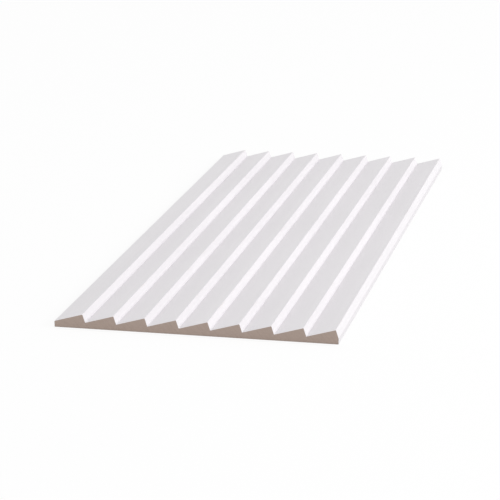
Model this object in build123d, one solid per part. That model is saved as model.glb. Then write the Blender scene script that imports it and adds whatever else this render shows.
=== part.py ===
from build123d import *
import math
import os

# A wall panel moulded in one piece from a fibreboard blank. Its face is a row of raked
# saw-teeth that run the whole length, and its flat back is glued to the wall.
# It lies on its back: X runs across the teeth, Y along them and Z out of the wall.
# The origin is in the middle of the back.

# Driving dimensions, in millimetres
panel_width = 240.0  # cover width, across the teeth
panel_length = 600.0  # along the teeth, between the two sawn ends
board_thickness = 12.0  # from the back to the crown of a ridge
valley_thickness = 5.2  # from the back to the bottom of a valley
tooth_count = 9
ridge_setback = 2.8  # from a ridge's crown to the bottom of the valley on its right
ridge_radius = 0.5  # eased arris along each ridge
valley_radius = 0.4  # cove that the cutter's tip leaves along each valley
edge_radius = 0.3  # eased corners of the two long edges

# Places that follow from them
tooth_pitch = panel_width / tooth_count
left_edge = -panel_width / 2
right_edge = panel_width / 2
crown_level = board_thickness - ridge_radius  # centres of the rounds over the ridges
cove_level = valley_thickness + valley_radius  # centres of the coves in the valleys


def side_normal(run):
    # Outward normal of a tooth's flat side. The run is how far the centre of the ridge's round
    # lies to the right of the cove's centre, and it is negative on the steep side.
    # The side passes under the cove's circle and over the ridge's, so its normal leans from
    # the line of centres by the arc cosine of both radii together over the distance.
    climb = Vector(run, crown_level - cove_level)
    lean = math.degrees(math.acos((valley_radius + ridge_radius) / climb.length))
    return (-climb).normalized().rotate(Axis.Z, math.copysign(lean, -run))


rising = side_normal(tooth_pitch - ridge_setback)  # the broad side, which looks left
falling = side_normal(-ridge_setback)  # the steep side, which looks right

# From a cove's centre to the line where the two sides beside it would meet. The long edges
# are cut on that line, so they are equally thick and panels side by side keep the rhythm.
valley_line = (rising + falling) * (-valley_radius / (1 + rising.dot(falling)))


def valley_centre(number):
    # Centre of the cove at the left of a tooth. Teeth are counted from 0 at the left edge.
    return Vector(left_edge + number * tooth_pitch - valley_line.X, cove_level)


def ridge_centre(number):
    # Centre of the round over a tooth's ridge.
    return Vector(valley_centre(number + 1).X - ridge_setback, crown_level)


def panel_section():
    # The panel's section, with X across the teeth and Y out of the wall.
    left_top = valley_centre(0) + valley_line
    right_top = valley_centre(tooth_count) + valley_line
    with BuildSketch() as section:
        with BuildLine():
            foot = left_top
            for number in range(tooth_count):
                broad_shoulder = ridge_centre(number) + rising * ridge_radius
                steep_shoulder = ridge_centre(number) + falling * ridge_radius
                Line(foot, broad_shoulder)
                RadiusArc(broad_shoulder, steep_shoulder, ridge_radius)
                if number == tooth_count - 1:
                    Line(steep_shoulder, right_top)
                else:
                    steep_foot = valley_centre(number + 1) - falling * valley_radius
                    foot = valley_centre(number + 1) - rising * valley_radius
                    Line(steep_shoulder, steep_foot)
                    RadiusArc(steep_foot, foot, -valley_radius)
            Polyline(right_top, (right_edge, 0), (left_edge, 0), left_top)
        make_face()
        corners = section.vertices().group_by(Axis.X)
        fillet(corners[0] + corners[-1], edge_radius)
    return section.sketch


def wall_panel():
    # The section carried along the whole panel, half of it to each side of the origin.
    return extrude(Plane.XZ * panel_section(), amount=panel_length / 2, both=True)


os.makedirs("parts", exist_ok=True)
export_step(wall_panel(), "parts/wall_panel.step")
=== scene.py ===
import bpy
import cmath
import math
import numpy as np
from mathutils import Matrix, Vector


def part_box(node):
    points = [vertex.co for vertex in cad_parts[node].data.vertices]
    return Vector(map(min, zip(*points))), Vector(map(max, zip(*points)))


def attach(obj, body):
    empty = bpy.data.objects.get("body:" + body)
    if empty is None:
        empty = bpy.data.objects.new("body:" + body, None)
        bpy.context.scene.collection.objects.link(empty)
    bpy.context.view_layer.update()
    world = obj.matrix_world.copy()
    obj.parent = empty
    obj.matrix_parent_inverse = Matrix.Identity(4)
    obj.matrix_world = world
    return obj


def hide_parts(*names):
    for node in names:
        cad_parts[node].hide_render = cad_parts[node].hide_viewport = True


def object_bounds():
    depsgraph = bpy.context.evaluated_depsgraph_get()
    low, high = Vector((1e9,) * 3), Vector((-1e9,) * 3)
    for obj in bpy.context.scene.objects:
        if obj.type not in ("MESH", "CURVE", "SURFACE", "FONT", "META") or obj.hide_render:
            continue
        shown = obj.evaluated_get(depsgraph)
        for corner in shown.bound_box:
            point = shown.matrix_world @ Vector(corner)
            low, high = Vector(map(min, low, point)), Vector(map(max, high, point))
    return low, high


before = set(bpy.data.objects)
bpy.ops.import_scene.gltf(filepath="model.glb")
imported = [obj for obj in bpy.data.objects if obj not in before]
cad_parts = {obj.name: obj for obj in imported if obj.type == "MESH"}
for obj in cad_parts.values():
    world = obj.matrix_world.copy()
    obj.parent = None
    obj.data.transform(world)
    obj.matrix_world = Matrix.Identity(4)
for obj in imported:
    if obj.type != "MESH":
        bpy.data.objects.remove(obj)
cadLow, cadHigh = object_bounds()
panelLow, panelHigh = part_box("wall_panel")
mm = 0.001
print("frame loaded, panel of", [round(v / mm, 2) for v in panelHigh - panelLow], "mm")

panel = {
    "name": "sawtooth_panel",
    "teeth": 9,
    "valley": 5.2 * mm,  # from the back to the bottom of a valley
    "setback": 2.8 * mm,  # from a crown to the bottom of the valley on its right
    "ridgeRadius": 0.5 * mm,
    "coveRadius": 0.4 * mm,
    "edgeRadius": 0.3 * mm,
    "broadPoints": 20,
    "steepPoints": 9,
    "arcPoints": 8,
    "endRows": 14,  # from the face down to the back on a sawn end
    "crowding": 1.6,  # how much closer those rows are under the face
    "middleRows": 17,  # along the panel, between the margins of its ends
    "endMargin": 8 * mm,
    "arris": 0.05 * mm,  # how far the saw breaks the arris round an end
    "arrisRagged": 0.5,  # share of that by which it wanders
    "arrisRows": [0.0, 0.12 * mm, 0.30 * mm, 1.0 * mm],  # distances of the rows there from the end
    "raggedWaves": [0.31 * mm, 0.83 * mm, 2.9 * mm],  # how far along it each wave turns one radian
    "flatness": 0.001 * mm,  # heights under this are on the flat of the back
    "sharpOver": 32,  # degrees
    "endShare": 0.10,  # of the unrolled map, for each sawn end
    "mapGap": 0.004,
}
toothPitch = (panelHigh.x - panelLow.x) / panel["teeth"]


# normal of a tooth's flat side, as x + 1j * z: the side is the inner tangent of its cove's and
# its ridge's circles, so the normal leans from the line of centres by the arc cosine of both
# radii over the distance
def sideNormal(run, rise, radii):
    climb = complex(run, rise)
    lean = math.acos(radii / abs(climb))
    return -climb / abs(climb) * cmath.exp(-1j * math.copysign(lean, run))


# points of an arc about a centre, from one angle to another
def arcPoints(centre, radius, start, stop):
    return centre + radius * np.exp(1j * np.linspace(start, stop, panel["arcPoints"]))


# points of a straight run, closer together towards both ends, by a cosine
def sidePoints(start, stop, count):
    return start + (stop - start) * (0.5 - 0.5 * np.cos(np.linspace(0, np.pi, count)))


# centre of the round on a long edge: its own radius under the side that it touches
def edgeCentre(x, normal, foot):
    lift = (-panel["edgeRadius"] - normal.real * (x - foot.real)) / normal.imag
    return complex(x, foot.imag + lift)


# the painted face across the panel, as x + 1j * z: one tooth is its broad side, the arc of its
# ridge, its steep side and the arc of its cove, and the others are that tooth one pitch further
# on; both long edges are cut where two sides would meet, and a round eases each
# it comes with the centres of the ridges' arcs and the feet of the steep sides over the coves
def faceSection():
    steps = toothPitch * np.arange(panel["teeth"])
    coveLevel = panel["valley"] + panel["coveRadius"]
    crownLevel = panelHigh.z - panel["ridgeRadius"]
    radii = panel["coveRadius"] + panel["ridgeRadius"]
    broad = sideNormal(toothPitch - panel["setback"], crownLevel - coveLevel, radii)
    steep = sideNormal(-panel["setback"], crownLevel - coveLevel, radii)
    broadAngle = cmath.phase(broad)
    steepAngle = cmath.phase(steep)
    # from a cove's centre to where the sides beside it would meet
    meeting = -panel["coveRadius"] * (broad + steep) / (1 + (broad * steep.conjugate()).real)
    cove = complex(panelLow.x - meeting.real, coveLevel)
    ridge = complex(cove.real + toothPitch - panel["setback"], crownLevel)
    broadFoot = cove - panel["coveRadius"] * broad
    steepFoot = cove + toothPitch - panel["coveRadius"] * steep

    tooth = np.concatenate([
        sidePoints(broadFoot, ridge + panel["ridgeRadius"] * broad, panel["broadPoints"])[:-1],
        arcPoints(ridge, panel["ridgeRadius"], broadAngle, steepAngle)[:-1],
        sidePoints(ridge + panel["ridgeRadius"] * steep, steepFoot, panel["steepPoints"])[:-1],
        arcPoints(cove + toothPitch, -panel["coveRadius"], steepAngle, broadAngle)[:-1],
    ])
    teeth = (tooth + steps[:, None]).ravel()
    left = edgeCentre(panelLow.x + panel["edgeRadius"], broad, broadFoot)
    right = edgeCentre(panelHigh.x - panel["edgeRadius"], steep, steepFoot + steps[-1])
    face = np.concatenate([
        arcPoints(left, panel["edgeRadius"], math.pi, broadAngle),
        teeth[1 : 1 - panel["arcPoints"]],  # without the first foot and the last cove
        arcPoints(right, panel["edgeRadius"], steepAngle, 0),
    ])
    return face, ridge + steps, steepFoot + steps[:-1]


# the section as a net: each column drops from a point of the face to one of the back, which is
# flat with a quarter round under the round of each long edge
def sectionNet(face):
    radius = panel["edgeRadius"]
    count = panel["arcPoints"]
    left = complex(panelLow.x + radius, panelLow.z + radius)
    right = complex(panelHigh.x - radius, panelLow.z + radius)
    # between the rounds, the flat's points keep step with those of the face
    flat = np.interp(face.real, face.real[[count - 1, -count]], [left.real, right.real])
    back = np.concatenate([
        arcPoints(left, radius, math.pi, 1.5 * math.pi),
        flat[count:-count] + 1j * panelLow.z,
        arcPoints(right, radius, -0.5 * math.pi, 0),
    ])
    down = np.linspace(0, 1, panel["endRows"]) ** panel["crowding"]
    return face[:, None] * (1 - down) + back[:, None] * down


# columns and rows of a net's rim in turn: the face, the right edge, the back and the left edge
def rimOf(columns, rows):
    across = np.arange(columns)
    down = np.arange(1, rows - 1)
    column = np.concatenate([across, np.full(rows - 2, columns - 1), across[::-1], np.zeros(rows - 2, int)])
    row = np.concatenate([np.zeros(columns, int), down, np.full(columns, rows - 1), down[::-1]])
    return column, row


# places along the panel of the rows of its skin, close together at the sawn ends
def skinRows():
    fromEnd = np.array(panel["arrisRows"])
    margin = panel["endMargin"]
    middle = np.linspace(panelLow.y + margin, panelHigh.y - margin, panel["middleRows"])
    return np.concatenate([panelLow.y + fromEnd, middle, panelHigh.y - fromEnd[::-1]])


# smooth noise from -1 to 1 along a distance: the mean of sines of unlike lengths
def ripple(distance, lengths):
    waves = [np.sin(distance / length + order) for order, length in enumerate(lengths)]
    return sum(waves) / len(lengths)


# the section's loop carried along y; at both ends each point moves in along its normal by the
# depth to which the saw broke the arris there, a mean one times one plus a share of the ripple
def skinPoints(loop, y):
    tangent = np.roll(loop, -1) - np.roll(loop, 1)
    outward = 1j * tangent / np.abs(tangent)
    distance = np.cumsum(np.abs(np.roll(loop, -1) - loop))
    broken = panel["arris"] * (1 + panel["arrisRagged"] * ripple(distance, panel["raggedWaves"]))
    nearness = np.clip(1 - np.minimum(y - y[0], y[-1] - y) / panel["arrisRows"][1], 0, 1)
    return loop[:, None] - (broken * outward)[:, None] * nearness


# which stretches of the loop stay bare: those with both ends on the flat of the back
def bareStretches(loop):
    onFlat = loop.imag - panelLow.z < panel["flatness"]
    return onFlat & np.roll(onFlat, -1)


# points of a section, as x + 1j * z, set at their place along the panel
def inSpace(section, y):
    return np.stack(np.broadcast_arrays(section.real, y, section.imag), axis=-1).reshape(-1, 3)


# the four corners of each cell of a grid, in turn
def cellCorners(grid):
    return np.stack([grid[:-1, :-1], grid[1:, :-1], grid[1:, 1:], grid[:-1, 1:]], axis=2)


# faces by the numbers of their points: those of the skin, then of the near and the far end, whose
# rims are the skin's first and last rows
def panelFaces(skinShape, netShape):
    skinNumbers = np.arange(math.prod(skinShape)).reshape(skinShape)
    endNumbers = np.zeros((2, *netShape), int)
    inner = endNumbers[:, 1:-1, 1:-1]
    inner[:] = skinNumbers.size + np.arange(inner.size).reshape(inner.shape)
    column, row = rimOf(*netShape)
    endNumbers[:, column, row] = skinNumbers[:, [0, -1]].T
    skinFaces = cellCorners(np.concatenate([skinNumbers, skinNumbers[:1]]))
    nearFaces = cellCorners(endNumbers[0])[:, :, ::-1]
    farFaces = cellCorners(endNumbers[1])
    return np.concatenate([made.reshape(-1, 4) for made in (skinFaces, nearFaces, farFaces)])


# the surface unrolled, for each corner of each face: on top the skin, its way round the loop
# against y, and under it a strip for each end, its x against z
def unrolledMap(loop, y, net):
    share = panel["endShare"]
    gap = panel["mapGap"]
    around = np.append(0, np.cumsum(np.abs(np.roll(loop, -1) - loop)))
    along = 2 * share + gap + (1 - 2 * share - 2 * gap) * (y - y[0]) / (y[-1] - y[0])
    skinMap = np.stack(np.meshgrid(around / around[-1], along, indexing="ij"), axis=-1)
    across = (net.real - panelLow.x) / (panelHigh.x - panelLow.x)
    upward = gap + (net.imag - panelLow.z) / (panelHigh.z - panelLow.z) * (share - gap)
    nearMap = cellCorners(np.stack([across, upward], axis=-1))[:, :, ::-1]
    farMap = cellCorners(np.stack([1 - across, upward + share], axis=-1))
    return np.concatenate([made.reshape(-1, 2) for made in (cellCorners(skinMap), nearMap, farMap)])


# an output socket of a node tree: Python's operators on wires add their Math nodes
class Wire:
    def __init__(self, tree, socket=None):
        self.tree = tree
        self.socket = socket

    # any node: its type, then its settings, then the values or wires of its sockets
    def node(self, kind, settings, sockets, output=0):
        made = self.tree.nodes.new("ShaderNode" + kind)
        for name, value in settings.items():
            setattr(made, name, value)
        for name, value in sockets.items():
            if isinstance(value, Wire):
                self.tree.links.new(value.socket, made.inputs[name])
            else:
                made.inputs[name].default_value = value
        return Wire(self.tree, made.outputs[output])

    # another output of the same node
    def out(self, name):
        return Wire(self.tree, self.socket.node.outputs[name])

    # links it to a shader's socket
    def into(self, shader, name):
        self.tree.links.new(self.socket, shader.inputs[name])

    # a Math node on two numbers or wires
    def maths(self, operation, first, second):
        return self.node("Math", {"operation": operation}, {0: first, 1: second})

    # a Math node on this wire alone
    def apply(self, operation):
        return self.node("Math", {"operation": operation}, {0: self})

    def __abs__(self):
        return self.apply("ABSOLUTE")

    def __add__(self, other):
        return self.maths("ADD", self, other)

    def __radd__(self, other):
        return self.maths("ADD", other, self)

    def __sub__(self, other):
        return self.maths("SUBTRACT", self, other)

    def __rsub__(self, other):
        return self.maths("SUBTRACT", other, self)

    def __mul__(self, other):
        return self.maths("MULTIPLY", self, other)

    def __rmul__(self, other):
        return self.maths("MULTIPLY", other, self)

    def __mod__(self, other):
        return self.maths("MODULO", self, other)

    def __rmod__(self, other):
        return self.maths("MODULO", other, self)


# a new material with its Principled shader and the piece's Object coordinates
def newMaterial(name):
    material = bpy.data.materials.new(name)
    material.use_nodes = True
    tree = material.node_tree
    place = Wire(tree).node("TexCoord", {}, {}, output="Object")
    return material, tree.nodes["Principled BSDF"], place


# a number that the mesh holds at each of its points
def held(place, name):
    return place.node("Attribute", {"attribute_name": name}, {}, output="Fac")


# noise from 0 to 1, from the sizes of its grains along x, y and z in millimetres
def grain(place, size, detail, roughness):
    scale = [1 / (length * mm) for length in size]
    stretched = place.node("Mapping", {}, {"Vector": place, "Scale": scale})
    sockets = {"Vector": stretched, "Scale": 1.0, "Detail": detail, "Roughness": roughness}
    return place.node("TexNoise", {}, sockets)


# the grains of a finish, by their names
def grainsOf(place, finish):
    return {name: grain(place, *kind) for name, kind in finish["grains"].items()}


# a pattern as a length, from minus half the reach to plus half of it
def sway(pattern, reach):
    return (pattern - 0.5) * reach


# the sum of some patterns, each times its share
def weighted(patterns, shares):
    return sum(patterns[name] * share for name, share in shares.items())


# 0 where the value is at low and most where it is at high, eased between them; low may be the larger
def fade(value, low, high, most=1.0):
    sockets = {"Value": value, "From Min": low, "From Max": high, "To Max": most}
    return value.node("MapRange", {"interpolation_type": "SMOOTHSTEP"}, sockets)


# the second colour laid over the first by a share, from 0 to 1
# of a Mix node's sockets, 6 and 7 take colours, and its output 2 gives one
def blendColour(share, first, second):
    return share.node("Mix", {"data_type": "RGBA"}, {0: share, 6: first, 7: second}, output=2)


# colours laid over a ground in turn, each by its share
def layered(ground, layers):
    for share, colour in layers:
        ground = blendColour(share, ground, colour)
    return ground


# gives a shader its colour, and its roughness and relief as sums of the finish's patterns
def dress(shader, finish, patterns, colour):
    colour.into(shader, "Base Color")
    (finish["roughness"] + weighted(patterns, finish["roughnessShares"])).into(shader, "Roughness")
    height = weighted(patterns, finish["reliefShares"])
    colour.node("Bump", {}, {"Distance": finish["relief"], "Height": height}).into(shader, "Normal")


# in each finish below, a grain has its sizes along x, y and z in millimetres, its detail and its
# roughness, and a span has the values of a pattern where a layer starts to show and where it shows
# most, with the share of the layer there if that is less than all of it
coat = {
    "colour": (0.850, 0.828, 0.850, 1),  # white primer
    "thin": (0.825, 0.803, 0.825, 1),  # where its mottle is a little thinner
    "lean": (0.808, 0.786, 0.808, 1),  # painted shade, low on the broad sides, darker towards each valley
    "pooled": (0.868, 0.846, 0.868, 1),  # over the feet of the steep sides, where it gathers
    "worn": (0.735, 0.695, 0.680, 1),  # on stretches of the ridges, where it is thinnest
    "soakedAndShaded": (0.766, 0.745, 0.763, 1),  # painted shade on the long edges, also primer soaked into them
    "poolHeight": 1.6 * mm,  # of the middle of a pool, over a foot
    "poolReach": 1.7 * mm,
    "wornReach": 0.6 * mm,  # on each side of a ridge's round
    "wrap": 0.7 * mm,  # how far the face's film comes down over the long edges before their painted shade shows in full
    "chatterPitch": 1.9 * mm,  # one mark of the planing cutter to the next
    "grains": {
        "cloud": ((60, 140, 60), 2, 0.5),
        "streak": ((1.1, 260, 3), 3, 0.5),
        "peel": ((0.9, 1.1, 0.9), 3, 0.55),
        "stipple": ((0.22, 0.26, 0.22), 2, 0.5),
        "patch": ((2, 18, 2), 3, 0.5),
        "nib": ((0.8, 0.8, 0.8), 0, 0.5),
    },
    "mottleShares": {"cloud": 0.45, "streak": 0.36, "stipple": 0.19},
    "thinSpan": (0.56, 0.44),
    "wornSpan": (0.52, 0.72, 0.5),
    "nibSpan": (0.80, 0.88),
    "soakedAndShadedShare": 0.75,
    "soakedAndShadedSpeckle": 0.5,  # how much more where the peel is high
    "roughness": 0.47,  # to which its patterns add their shares
    "roughnessShares": {"cloud": 0.12, "stipple": 0.10, "edge": 0.06, "ridge": -0.12},
    "relief": 0.08 * mm,  # height of its sprayed texture
    "reliefShares": {"peel": 0.5, "stipple": 0.2, "streak": 0.15, "chatter": 0.04, "nib": 0.8},
}


# where the film differs, from 0 to 1: on the ridges and in its pools over the feet of the steep sides;
# where painted shade goes, low on the broad sides that rise from a valley, and on the long edges, where
# primer also soaks in; chatter is a sine along y
def filmPatterns(place):
    axes = place.node("SeparateXYZ", {}, {0: place})
    x = axes.out("X")
    wornFrom = panel["ridgeRadius"] + coat["wornReach"]
    firstValley = panelLow.x + toothPitch
    rising = fade((x - panelLow.x) % toothPitch, toothPitch - panel["setback"], 0.0)
    outside = fade(abs(x), panelHigh.x - panel["edgeRadius"], panelHigh.x)
    return {
        "ridge": fade(held(place, "fromRidge"), wornFrom, panel["ridgeRadius"]),
        "pool": fade(held(place, "fromPool"), coat["poolReach"], 0.0),
        # painted shade: darker low on the broad sides, towards each valley
        "low": rising * fade(x, firstValley - panel["setback"], firstValley),
        # painted shade on the long edges, partly standing for primer soaked in
        "edge": outside * fade(axes.out("Z"), panel["valley"], panel["valley"] - coat["wrap"]),
        "chatter": (axes.out("Y") * (2 * math.pi / coat["chatterPitch"])).apply("SINE"),
    }


# white primer: sprayed and matt, over faint streaks and chatter that the planing cutter left, with painted
# shade low on the broad sides and on the long edges
def primerCoat():
    material, shader, place = newMaterial("white_primer")
    film = grainsOf(place, coat) | filmPatterns(place)
    film["nib"] = fade(film["nib"], *coat["nibSpan"])
    mottle = weighted(film, coat["mottleShares"])
    colour = layered(coat["colour"], [
        (fade(mottle, *coat["thinSpan"]), coat["thin"]),
        # painted shade: darker low on the broad sides, towards each valley
        (film["low"], coat["lean"]),
        (film["pool"], coat["pooled"]),
        (film["ridge"] * fade(film["patch"], *coat["wornSpan"]), coat["worn"]),
        # painted shade on the long edges, partly standing for primer soaked in
        (film["edge"] * (coat["soakedAndShadedShare"] + film["peel"] * coat["soakedAndShadedSpeckle"]), coat["soakedAndShaded"]),
    ])
    dress(shader, coat, film, colour)
    return material


board = {
    "colour": (0.488, 0.384, 0.325, 1),  # core of the fibreboard
    "skin": (0.350, 0.268, 0.232, 1),  # its pressed skin, on the back
    "fleckDark": (0.240, 0.175, 0.145, 1),
    "fleckPale": (0.560, 0.460, 0.410, 1),
}

sawn = {
    "burnish": (0.370, 0.284, 0.240, 1),  # where the saw's teeth rubbed
    "bladeRadius": 150 * mm,
    "arborHeight": 105 * mm,  # of the saw's centre over the back
    "markPitch": 1.3 * mm,  # one saw mark to the next
    "grains": {
        "mottle": ((3.2, 3, 1.1), 3, 0.5),
        "fibre": ((0.55, 0.5, 0.16), 3, 0.6),
        "fleck": ((0.9, 0.5, 0.3), 2, 0.5),
    },
    "skinSpan": (1.4 * mm, 0.0, 0.7),  # heights over the back
    "skinSway": 0.5 * mm,
    "burnishSpan": (0.50, 0.70, 0.35),
    "paleShares": {"mottle": 0.5, "fibre": 0.5},
    "paleSpan": (0.38, 0.68, 0.4),
    "darkSpan": (0.60, 0.72, 0.45),
    "rimSpan": (0.16 * mm, 0.04 * mm),  # depths under the painted face
    "rimSway": 0.06 * mm,  # how far the rim is torn
    "roughness": 0.72,
    "roughnessShares": {"fibre": 0.2, "rim": -0.2},
    "relief": 0.06 * mm,
    "reliefShares": {"fibre": 0.5, "fleck": 0.2, "marks": 0.3},
}


# marks of the crosscut saw: at each height the blade's rim stands off its arbor by the root of
# its radius squared less the drop squared, and the arbor moves on one pitch for each mark
def sawMarks(axes):
    drop = sawn["arborHeight"] - axes.out("Z")
    reach = (sawn["bladeRadius"] ** 2 - drop * drop).apply("SQRT")
    travel = (axes.out("X") + reach) * (1 / sawn["markPitch"])
    return axes.node("TexNoise", {"noise_dimensions": "1D"}, {"W": travel, "Scale": 1.0})


# sawn end: fibres lie flat in the board, its core is paler than the pressed skin over the back,
# and the primer on the face shows as a thin white rim
def sawnEnd():
    material, shader, place = newMaterial("sawn_fibreboard")
    axes = place.node("SeparateXYZ", {}, {0: place})
    cut = grainsOf(place, sawn)
    cut["marks"] = sawMarks(axes)
    cut["rim"] = fade(held(place, "fromCoat") + sway(cut["fibre"], sawn["rimSway"]), *sawn["rimSpan"])
    height = axes.out("Z") + sway(cut["mottle"], sawn["skinSway"])
    colour = layered(board["colour"], [
        (fade(height, *sawn["skinSpan"]), board["skin"]),
        (fade(cut["marks"], *sawn["burnishSpan"]), sawn["burnish"]),
        (fade(weighted(cut, sawn["paleShares"]), *sawn["paleSpan"]), board["fleckPale"]),
        (fade(cut["fleck"], *sawn["darkSpan"]), board["fleckDark"]),
        (cut["rim"], coat["colour"]),
    ])
    dress(shader, sawn, cut, colour)
    return material


sanded = {
    "grains": {
        "cloud": ((40, 120, 40), 3, 0.5),
        "scratch": ((0.30, 38, 1), 2, 0.5),
        "fibre": ((0.7, 0.9, 0.7), 3, 0.6),
        "fleck": ((0.8, 1.3, 0.8), 2, 0.5),
    },
    "coreShares": {"cloud": 0.12, "scratch": 0.38, "fibre": 0.50},
    "coreSpan": (0.28, 0.68),  # where sanding bared the core under the skin
    "paleSpan": (0.48, 0.78, 0.4),
    "darkSpan": (0.58, 0.74, 0.5),
    "spraySpan": (2.4 * mm, 0.2 * mm, 0.85),  # distances from a long edge, for drifted primer
    "fibreSway": 2.2 * mm,  # how far that drift wanders
    "cloudSway": 3 * mm,
    "roughness": 0.64,
    "roughnessShares": {"scratch": 0.2},
    "relief": 0.02 * mm,
    "reliefShares": {"scratch": 0.6, "fibre": 0.4},
}


# sanded back: bare board with fine scratches along it and a drift of primer beside the long edges
def sandedBack():
    material, shader, place = newMaterial("sanded_fibreboard")
    axes = place.node("SeparateXYZ", {}, {0: place})
    back = grainsOf(place, sanded)
    fromEdge = panelHigh.x - abs(axes.out("X"))
    drift = fromEdge + sway(back["fibre"], sanded["fibreSway"]) + sway(back["cloud"], sanded["cloudSway"])
    colour = layered(board["skin"], [
        (fade(weighted(back, sanded["coreShares"]), *sanded["coreSpan"]), board["colour"]),
        (fade(back["fibre"], *sanded["paleSpan"]), board["fleckPale"]),
        (fade(back["fleck"], *sanded["darkSpan"]), board["fleckDark"]),
        (fade(drift, *sanded["spraySpan"]), coat["colour"]),
    ])
    dress(shader, sanded, back, colour)
    return material


finishes = [primerCoat, sawnEnd, sandedBack]  # in the order of the mesh's materials


# shortest distance from each point to a chain of straight segments
def distanceTo(points, chain):
    start = chain[:-1]
    run = chain[1:] - start
    offset = points[..., None] - start
    along = np.clip((offset * run.conjugate()).real / np.abs(run) ** 2, 0, 1)
    return np.abs(offset - along * run).min(axis=-1)


# distance from each point to the nearest of some spots
def nearest(points, spots):
    return np.abs(points[..., None] - spots).min(axis=-1)


# distances that the finishes read, on the loop and inside an end: to the painted part of the loop,
# to the centre of the nearest ridge's round and to the middle of the nearest pool of primer
def finishDistances(loop, inner, ridges, feet):
    firstBare, lastBare = np.flatnonzero(bareStretches(loop))[[0, -1]]
    painted = np.concatenate([loop[lastBare + 1 :], loop[: firstBare + 1]])
    pools = feet + 1j * coat["poolHeight"]
    return {
        "fromCoat": [distanceTo(part, painted) for part in (loop, inner)],
        "fromRidge": [nearest(part, ridges) for part in (loop, inner)],
        "fromPool": [nearest(part, pools) for part in (loop, inner)],
    }


# the panel as one closed mesh: its skin, and a net over each end that shares the skin's points there
def buildPanel():
    face, ridges, feet = faceSection()
    net = sectionNet(face)
    loop = net[rimOf(*net.shape)]
    inner = net[1:-1, 1:-1]
    y = skinRows()
    skin = skinPoints(loop, y)
    points = np.concatenate([inSpace(skin, y), inSpace(inner, y[0]), inSpace(inner, y[-1])])
    faces = panelFaces(skin.shape, net.shape)
    mesh = bpy.data.meshes.new(panel["name"])
    mesh.from_pydata(points, [], faces)
    print("panel built with", len(faces), "faces")

    # sanded where the loop stays bare, primed on the rest of the skin, and sawn on both ends
    aroundLoop = np.where(bareStretches(loop), finishes.index(sandedBack), finishes.index(primerCoat))
    onSkin = np.repeat(aroundLoop, len(y) - 1)
    onEnds = np.full(len(faces) - len(onSkin), finishes.index(sawnEnd))
    mesh.polygons.foreach_set("material_index", np.append(onSkin, onEnds).astype(np.int32))
    for name, (onLoop, onEnd) in finishDistances(loop, inner, ridges, feet).items():
        values = np.append(np.repeat(onLoop, len(y)), np.tile(onEnd.ravel(), 2))
        mesh.attributes.new(name, "FLOAT", "POINT").data.foreach_set("value", values.astype(np.float32))
    places = unrolledMap(loop, y, net)
    mesh.uv_layers.new(name="OFBake").uv.foreach_set("vector", places.astype(np.float32).ravel())
    mesh.shade_smooth()
    mesh.set_sharp_from_angle(angle=math.radians(panel["sharpOver"]))
    for finish in finishes:
        mesh.materials.append(finish())
    print("finishes laid on:", ", ".join(mesh.materials.keys()))

    piece = bpy.data.objects.new(panel["name"], mesh)
    bpy.context.scene.collection.objects.link(piece)
    return piece


sawtoothPanel = buildPanel()
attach(sawtoothPanel, "root")
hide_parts("wall_panel")

studio = {
    "white": (1, 1, 1, 1),  # of the floor and the background where they are seen
    "floorSide": 14.0,
    "floorDrop": 0.1 * mm,  # under the panel's back
    "floorTone": (0.67, 0.665, 0.67, 1),  # as the floor lights the panel
    "floorRoughness": 0.9,
    "floorGlow": 0.85,  # share of plain white in the floor that is seen
    "ambient": 0.815,
    "boxPower": 37.8,
    "boxAt": (2.90, 0.0, 1.15),
    "boxSize": (1.2, 1.2),
}


# 1 for rays that see the background, straight or in something shiny or clear, and 0 for the rest
def seenRays(tree):
    path = Wire(tree).node("LightPath", {}, {})
    return path.out("Is Camera Ray") + path.out("Is Glossy Ray") + path.out("Is Transmission Ray")


# pale floor, mostly plain white where it is seen, so that the panel's shadow stays faint
def buildFloor():
    half = studio["floorSide"] / 2
    z = cadLow.z - studio["floorDrop"]
    corners = [(-half, -half, z), (half, -half, z), (half, half, z), (-half, half, z)]
    mesh = bpy.data.meshes.new("floor")
    mesh.from_pydata(corners, [], [(0, 1, 2, 3)])
    material, shader, place = newMaterial("pale_floor")
    shader.inputs["Roughness"].default_value = studio["floorRoughness"]
    seen = seenRays(place.tree)
    blendColour(seen, studio["floorTone"], studio["white"]).into(shader, "Base Color")
    lit = Wire(place.tree, shader.outputs[0])
    glow = place.node("Emission", {}, {"Color": studio["white"]})
    mixed = place.node("MixShader", {}, {0: seen * studio["floorGlow"], 1: lit, 2: glow})
    mixed.into(place.tree.nodes["Material Output"], "Surface")
    mesh.materials.append(material)
    floor = bpy.data.objects.new("floor", mesh)
    bpy.context.scene.collection.objects.link(floor)


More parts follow.
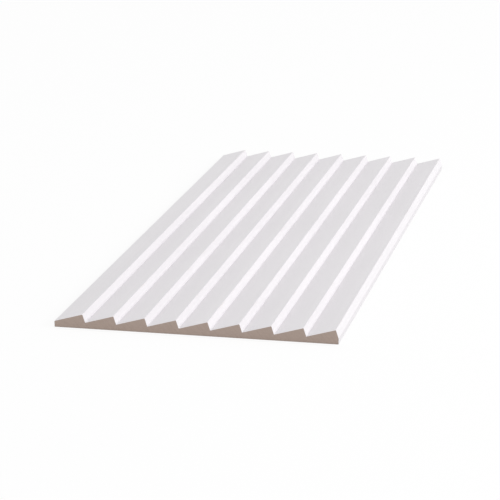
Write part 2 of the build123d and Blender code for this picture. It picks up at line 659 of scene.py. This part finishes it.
# even light from all round, and plain white where the background is seen
def buildWorld():
    world = bpy.data.worlds.new("studio")
    world.use_nodes = True
    bpy.context.scene.world = world
    background = world.node_tree.nodes["Background"]
    background.inputs["Color"].default_value = studio["white"]
    seen = seenRays(world.node_tree)
    (studio["ambient"] + seen * (1 - studio["ambient"])).into(background, "Strength")


# one softbox on the panel's right, which looks at the middle of its back
def buildSoftbox():
    light = bpy.data.lights.new("softbox", "AREA")
    light.shape = "RECTANGLE"
    light.size, light.size_y = studio["boxSize"]
    light.energy = studio["boxPower"]
    away = Vector(studio["boxAt"]).normalized()
    along = Vector((0, 1, 0))
    box = bpy.data.objects.new("softbox", light)
    axes = Matrix((along, away.cross(along), away)).transposed().to_4x4()
    box.matrix_world = Matrix.Translation(studio["boxAt"]) @ axes
    box.visible_camera = False
    bpy.context.scene.collection.objects.link(box)


viewpoint = {
    "lens": 154.17,  # in millimetres, as the sensor's width
    "sensor": 36.0,
    "aim": (40.65 * mm, -271.0 * mm, 66.89 * mm),
    "distance": 1754.0 * mm,
    "azimuth": 13.014,  # degrees
    "elevation": 15.994,
    "roll": -0.564,
}


# a camera that looks at the aim from that azimuth, elevation and distance
def buildCamera():
    azimuth = math.radians(viewpoint["azimuth"])
    elevation = math.radians(viewpoint["elevation"])
    backward = Vector((
        math.sin(azimuth) * math.cos(elevation),
        -math.cos(azimuth) * math.cos(elevation),
        math.sin(elevation),
    ))
    level = Vector((math.cos(azimuth), math.sin(azimuth), 0))
    axes = Matrix((level, backward.cross(level), backward)).transposed().to_4x4()
    rolled = axes @ Matrix.Rotation(math.radians(viewpoint["roll"]), 4, "Z")
    at = Vector(viewpoint["aim"]) + backward * viewpoint["distance"]
    data = bpy.data.cameras.new("camera")
    data.lens = viewpoint["lens"]
    data.sensor_width = viewpoint["sensor"]
    camera = bpy.data.objects.new("camera", data)
    camera.matrix_world = Matrix.Translation(at) @ rolled
    bpy.context.scene.collection.objects.link(camera)
    bpy.context.scene.camera = camera


buildFloor()
buildWorld()
buildSoftbox()
buildCamera()
bpy.context.scene.view_settings.view_transform = "Standard"
print("floor, light and camera in place")

bpy.context.view_layer.update()
